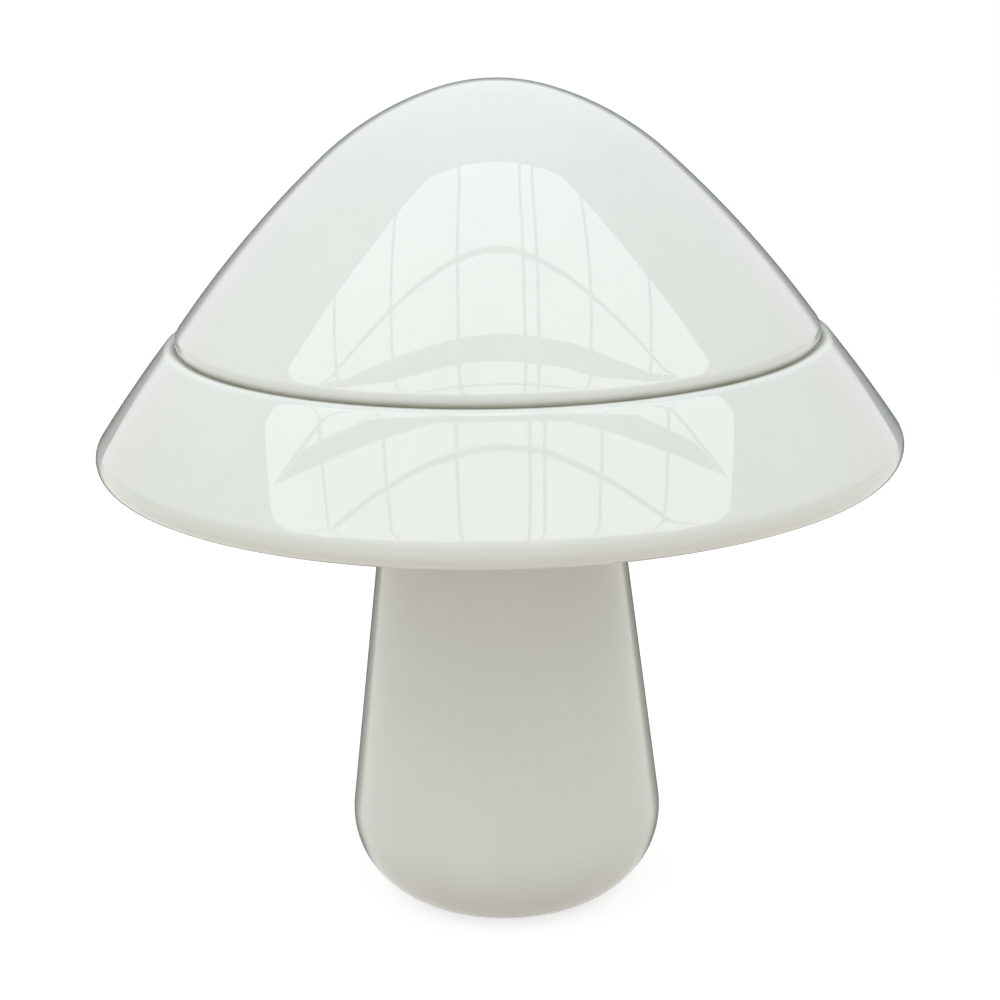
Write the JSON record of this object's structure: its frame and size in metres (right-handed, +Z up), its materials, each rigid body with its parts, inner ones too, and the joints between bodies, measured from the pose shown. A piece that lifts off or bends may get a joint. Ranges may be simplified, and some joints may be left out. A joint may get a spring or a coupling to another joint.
{
  "type": "mushroom table lamp",
  "caption": "Mushroom table lamp of white opal glass: a stepped shade that lifts off its carrier arms, above a tapered hollow stem with a screw lampholder and bulb.",
  "frame": {"origin": "on the table, under the lamp's axis, at the undersides of the feet", "axes": "+Z up along the lamp's axis, +Y to the back where the cord inlet is, +X to the right"},
  "size_m": [0.3, 0.3, 0.3133],
  "materials": {
    "opal_glass": "glossy opal glass, fire-polished",
    "bulb_opal": "satin opal bulb glass",
    "vitrite": "gloss dark insulating glass",
    "white_steel": "satin white powder coat",
    "zinc_steel": "zinc plated",
    "cap_metal": "bright nickel-plated shell",
    "brass": "bright brass",
    "porcelain": "glazed porcelain",
    "white_plastic": "moulded thermoset, low gloss",
    "block_plastic": "moulded polyamide",
    "clear_silicone": "milky silicone",
    "grey_rubber": "matt rubber",
    "brown_insulation": "smooth PVC",
    "blue_insulation": "smooth PVC"
  },
  "bodies": {
    "stand": {"stem_glass": "opal_glass", "bottom_gasket": "clear_silicone", "bottom_plate": "white_steel", "foot_pads": "grey_rubber", "lamp_tube": "zinc_steel", "tube_nuts": "zinc_steel", "tube_washer": "zinc_steel", "neck_gasket": "clear_silicone", "neck_plate": "white_steel", "carrier_arms": "white_steel", "arm_rivets": "zinc_steel", "arm_tip_caps": "clear_silicone", "holder_base": "white_plastic", "holder_lock_screw": "zinc_steel", "holder_shell": "white_plastic", "holder_ring_nut": "white_plastic", "holder_insert": "porcelain", "screw_shell": "brass", "centre_contact": "brass", "holder_terminals": "brass", "terminal_block": "block_plastic", "terminal_sleeves": "brass", "terminal_screws": "zinc_steel", "block_screw": "zinc_steel", "live_lead": "brown_insulation", "neutral_lead": "blue_insulation", "inlet_bush": "white_plastic", "inlet_gasket": "clear_silicone", "inlet_nut": "white_plastic"},
    "shade": {"shade_glass": "opal_glass"},
    "bulb_rise_body": {"bulb_tip": "zinc_steel"},
    "bulb": {"bulb_glass": "bulb_opal", "bulb_cap": "cap_metal", "bulb_insulator": "vitrite"}
  },
  "joints": [
    {"name": "shade_lift", "type": "slide", "parent": "stand", "child": "shade", "axis": [0, 0, 1], "range_m": [0, 0.14]},
    {"name": "bulb_rise", "type": "slide", "parent": "stand", "child": "bulb_rise_body", "axis": [0, 0, 1], "range_m": [0, 0.0128]},
    {"name": "bulb_turn", "type": "hinge", "parent": "bulb_rise_body", "child": "bulb", "pos_m": [0, 0, 0.2], "axis": [0, 0, 1], "range_deg": [0, 1260]}
  ],
  "couplings": [
    {"joint": "bulb_rise", "follows": "bulb_turn", "m_per_rad": 0.00057757}
  ]
}
